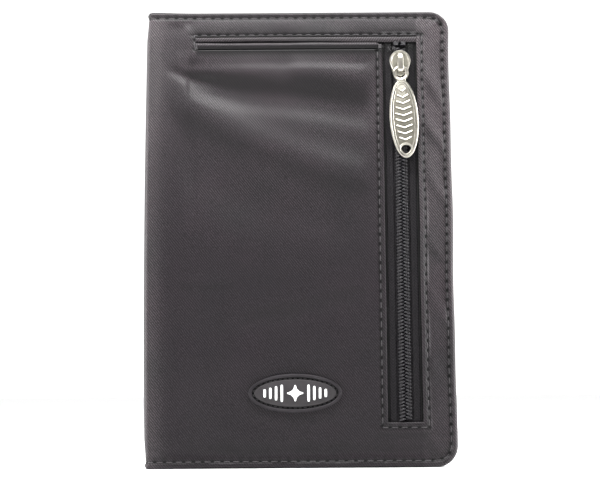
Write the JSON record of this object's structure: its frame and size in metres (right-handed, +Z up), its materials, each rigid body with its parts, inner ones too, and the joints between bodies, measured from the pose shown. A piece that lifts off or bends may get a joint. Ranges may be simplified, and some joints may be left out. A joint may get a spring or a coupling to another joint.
{
  "type": "passport holder wallet",
  "caption": "Slim upright fabric passport wallet that opens like a book, with a zipped front pocket, a slip pocket under the top edge and an oval rubber badge.",
  "frame": {"origin": "under the middle of the object's bounding box, on the surface that the lower edge stands on", "axes": "+X from the fold to the free edge, the front cover faces -Y, +Z up along the height"},
  "size_m": [0.102, 0.011, 0.152],
  "materials": {
    "shell": "satin nylon twill",
    "lining": "smooth plain weave",
    "pocket_cloth": "smooth plain weave",
    "zip_tape": "herringbone woven tape",
    "zip_coil": "satin nylon monofilament",
    "thread": "twisted polyester thread",
    "nickel": "polished nickel plate",
    "badge_rubber": "soft matte moulded rubber",
    "emblem_white": "matte white",
    "window_film": "clear flexible film"
  },
  "bodies": {
    "back_cover": {"back_outer_panel": "shell", "back_edge_stitching": "thread", "back_lining": "lining", "boarding_pass_pocket": "pocket_cloth", "passport_pocket": "pocket_cloth", "id_window_frame": "pocket_cloth", "id_window": "window_film", "window_stitching": "thread"},
    "spine": {"spine_outer_panel": "shell", "spine_stitching": "thread", "spine_lining": "lining"},
    "front_cover": {"front_outer_panel": "shell", "front_edge_stitching": "thread", "slot_stitching": "thread", "zip_stitching": "thread", "slot_upper_welt": "shell", "slot_lower_lip": "shell", "slot_pocket_bag": "pocket_cloth", "zip_tape_left": "zip_tape", "zip_tape_right": "zip_tape", "zip_coil_left": "zip_coil", "zip_coil_right": "zip_coil", "zip_top_stops": "zip_coil", "zip_pocket_bag": "pocket_cloth", "front_lining": "lining", "bill_pocket": "pocket_cloth", "card_pocket_1": "pocket_cloth", "card_pocket_2": "pocket_cloth", "card_pocket_3": "pocket_cloth", "card_pocket_4": "pocket_cloth", "card_pocket_stitching": "thread", "badge_body": "badge_rubber", "badge_stitching": "thread", "badge_emblem": "emblem_white"},
    "zip_slider": {"zip_slider": "nickel"},
    "zip_pull": {"zip_pull": "nickel"}
  },
  "joints": [
    {"name": "spine_back_fold", "type": "hinge", "parent": "back_cover", "child": "spine", "pos_m": [-0.05041, 0.00496, 0.076], "axis": [0, 0, -1], "range_deg": [0, 90]},
    {"name": "spine_front_fold", "type": "hinge", "parent": "spine", "child": "front_cover", "pos_m": [-0.05041, -0.00166, 0.076], "axis": [0, 0, -1], "range_deg": [0, 90]},
    {"name": "zip_slide", "type": "slide", "parent": "front_cover", "child": "zip_slider", "axis": [0, 0, -1], "range_m": [0, 0.1125]},
    {"name": "pull_swing", "type": "hinge", "parent": "zip_slider", "child": "zip_pull", "pos_m": [0.0342, -0.0041, 0.1319], "axis": [-0.9986, 0, -0.0523], "range_deg": [0, 135]}
  ],
  "couplings": [
    {"joint": "spine_front_fold", "follows": "spine_back_fold", "ratio": 1}
  ]
}
